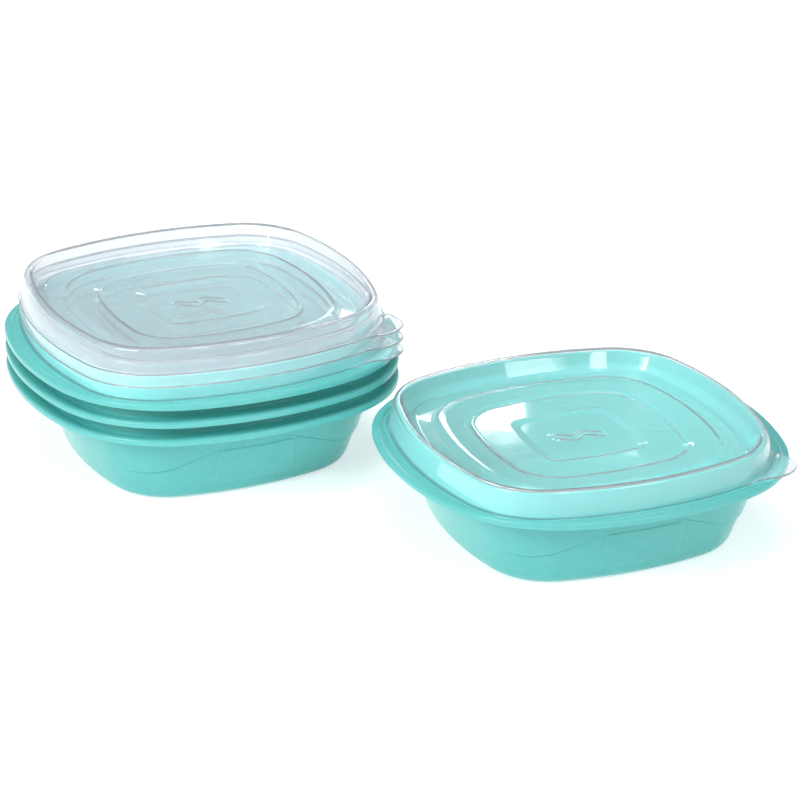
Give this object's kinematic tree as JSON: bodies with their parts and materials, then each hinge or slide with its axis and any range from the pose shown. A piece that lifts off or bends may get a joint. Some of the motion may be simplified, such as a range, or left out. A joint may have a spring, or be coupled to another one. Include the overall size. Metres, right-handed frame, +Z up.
{
  "type": "set of nesting food containers with snap lids",
  "caption": "Rounded-square plastic food bowls with clear snap lids: one stack of nested bowls under nested lids, and one closed bowl beside it.",
  "frame": {"origin": "middle of the set's bounding box, on the surface that the bowls stand on", "axes": "+Z up; +X from the stack towards the closed container; the blank label panels face between -Y and +X"},
  "size_m": [0.3516, 0.268, 0.0788],
  "materials": {
    "bowl": "glossy",
    "lid": "clear glossy"
  },
  "bodies": {
    "stack_bowl_bottom": {"stack_bowl_bottom": "bowl"},
    "stack_bowl_middle": {"stack_bowl_middle": "bowl"},
    "stack_bowl_top": {"stack_bowl_top": "bowl"},
    "stack_lid_bottom": {"stack_lid_bottom": "lid"},
    "stack_lid_middle": {"stack_lid_middle": "lid"},
    "stack_lid_top": {"stack_lid_top": "lid"},
    "single_bowl": {"single_bowl": "bowl"},
    "single_lid": {"single_lid": "lid"}
  },
  "joints": [
    {"name": "lift_middle_bowl", "type": "slide", "parent": "stack_bowl_bottom", "child": "stack_bowl_middle", "axis": [0, 0, 1], "range_m": [0, 0.06]},
    {"name": "lift_top_bowl", "type": "slide", "parent": "stack_bowl_middle", "child": "stack_bowl_top", "axis": [0, 0, 1], "range_m": [0, 0.06]},
    {"name": "lift_bottom_lid", "type": "slide", "parent": "stack_bowl_top", "child": "stack_lid_bottom", "axis": [0, 0, 1], "range_m": [0, 0.03]},
    {"name": "lift_middle_lid", "type": "slide", "parent": "stack_lid_bottom", "child": "stack_lid_middle", "axis": [0, 0, 1], "range_m": [0, 0.03]},
    {"name": "lift_top_lid", "type": "slide", "parent": "stack_lid_middle", "child": "stack_lid_top", "axis": [0, 0, 1], "range_m": [0, 0.03]},
    {"name": "lift_single_bowl", "type": "slide", "parent": "stack_bowl_bottom", "child": "single_bowl", "axis": [0, 0, 1], "range_m": [0, 0.06]},
    {"name": "lift_single_lid", "type": "slide", "parent": "single_bowl", "child": "single_lid", "axis": [0, 0, 1], "range_m": [0, 0.03]}
  ]
}
